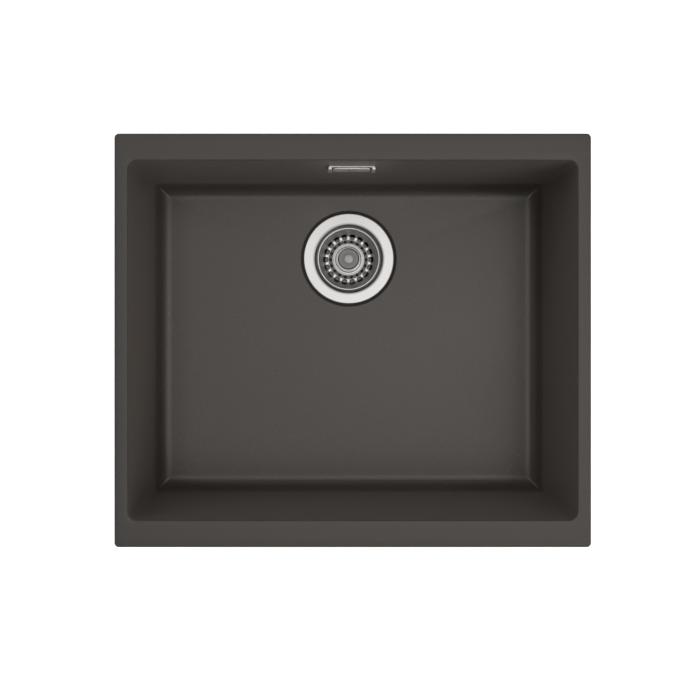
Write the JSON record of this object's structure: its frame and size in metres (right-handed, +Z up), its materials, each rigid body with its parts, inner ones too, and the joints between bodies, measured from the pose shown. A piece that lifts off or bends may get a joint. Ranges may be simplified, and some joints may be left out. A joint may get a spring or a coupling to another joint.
{
  "type": "undermount kitchen sink",
  "caption": "Rectangular composite undermount sink bowl with a lift-out basket strainer waste, rear overflow with cover plate, and ribbed overflow hose to the waste body.",
  "frame": {"origin": "centre of the rim's flat top face, which meets the underside of the worktop", "axes": "+X to the right along the longer side, +Y towards the rear wall with the overflow, +Z up out of the bowl"},
  "size_m": [0.53, 0.4748, 0.3001],
  "materials": {
    "composite": "matte",
    "flange_steel": "satin",
    "brushed_steel": "satin",
    "basket_steel": "satin",
    "overflow_steel": "satin",
    "brass": "satin",
    "rubber": "matte",
    "foam": "matte",
    "body_plastic": "satin",
    "hose_plastic": "satin",
    "nut_plastic": "satin"
  },
  "bodies": {
    "sink": {"sink_bowl": "composite", "rim_insert_1": "brass", "rim_insert_2": "brass", "rim_insert_3": "brass", "rim_insert_4": "brass", "rim_insert_5": "brass", "rim_insert_6": "brass", "rim_insert_7": "brass", "rim_insert_8": "brass", "waste_flange": "flange_steel", "flange_gasket": "foam", "body_gasket": "rubber", "waste_body": "body_plastic", "hub_cross": "body_plastic", "outlet_cone": "body_plastic", "hub_nut": "brass", "centre_screw": "brushed_steel", "overflow_frame": "overflow_steel", "overflow_plate": "overflow_steel", "overflow_screw": "brushed_steel", "overflow_nut": "brass", "overflow_seal": "rubber", "overflow_box": "body_plastic", "overflow_hose": "hose_plastic", "hose_nut_top": "nut_plastic", "hose_nut_bottom": "nut_plastic", "hose_washer_top": "rubber", "hose_washer_bottom": "rubber"},
    "basket": {"basket_cup": "basket_steel", "knob_base": "flange_steel", "basket_knob": "flange_steel", "knob_cap": "brushed_steel", "basket_stem": "brushed_steel", "seal_holder": "brushed_steel", "basket_seal": "rubber", "stem_nut": "brass", "catch_ring": "basket_steel"}
  },
  "joints": [
    {"name": "basket_lift", "type": "slide", "parent": "sink", "child": "basket", "axis": [0, 0, 1], "range_m": [0, 0.26]}
  ]
}
